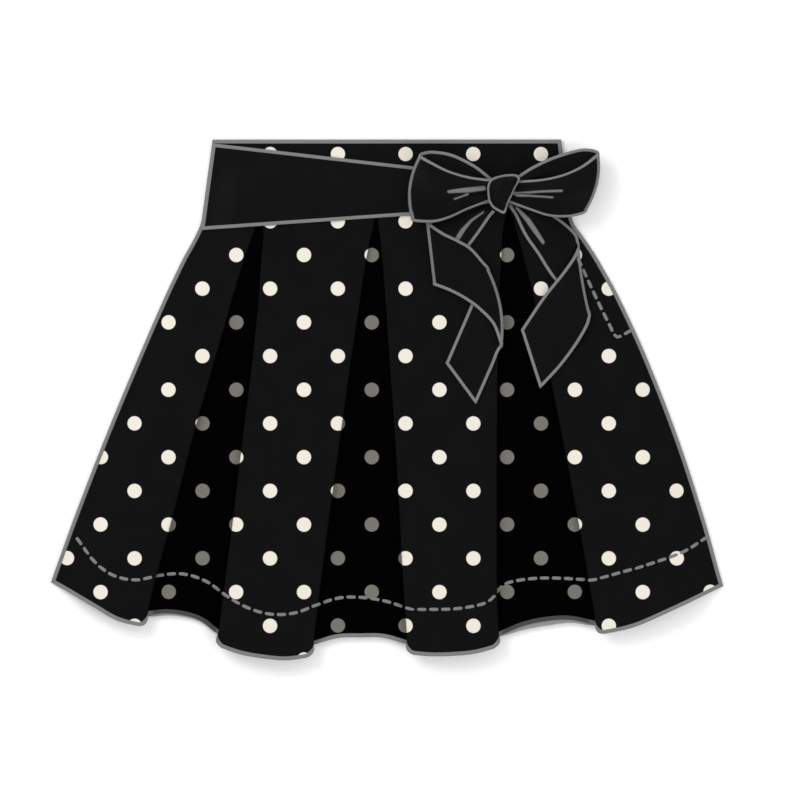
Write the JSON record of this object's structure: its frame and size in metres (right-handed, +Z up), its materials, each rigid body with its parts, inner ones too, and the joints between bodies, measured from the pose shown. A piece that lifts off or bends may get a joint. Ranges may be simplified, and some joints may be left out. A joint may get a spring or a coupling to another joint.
{
  "type": "pleated skirt",
  "caption": "Short flared skirt with open inverted pleats, a plain waistband and a wide sash tied in a bow, laid flat on its back.",
  "frame": {"origin": "middle of the underside, on the surface that the skirt lies on", "axes": "+X to the viewer's right along the waist, +Y from the hem to the waist edge, +Z up from the surface, out of the front of the skirt"},
  "size_m": [0.6682, 0.5162, 0.0364],
  "materials": {
    "dotted_cloth": "matt black cotton with an even half-drop print of cream dots, 14 mm across",
    "sash_cloth": "plain black cloth with a soft sheen and a fine grey finish along its edges"
  },
  "bodies": {
    "root": {"waistband_front": "dotted_cloth", "waistband_back": "dotted_cloth", "skirt_front": "dotted_cloth", "skirt_back": "dotted_cloth", "sash_left": "sash_cloth", "sash_right": "sash_cloth", "bow_loop_left": "sash_cloth", "bow_loop_right": "sash_cloth", "bow_knot": "sash_cloth", "tail_left": "sash_cloth", "tail_right": "sash_cloth"}
  },
  "joints": []
}
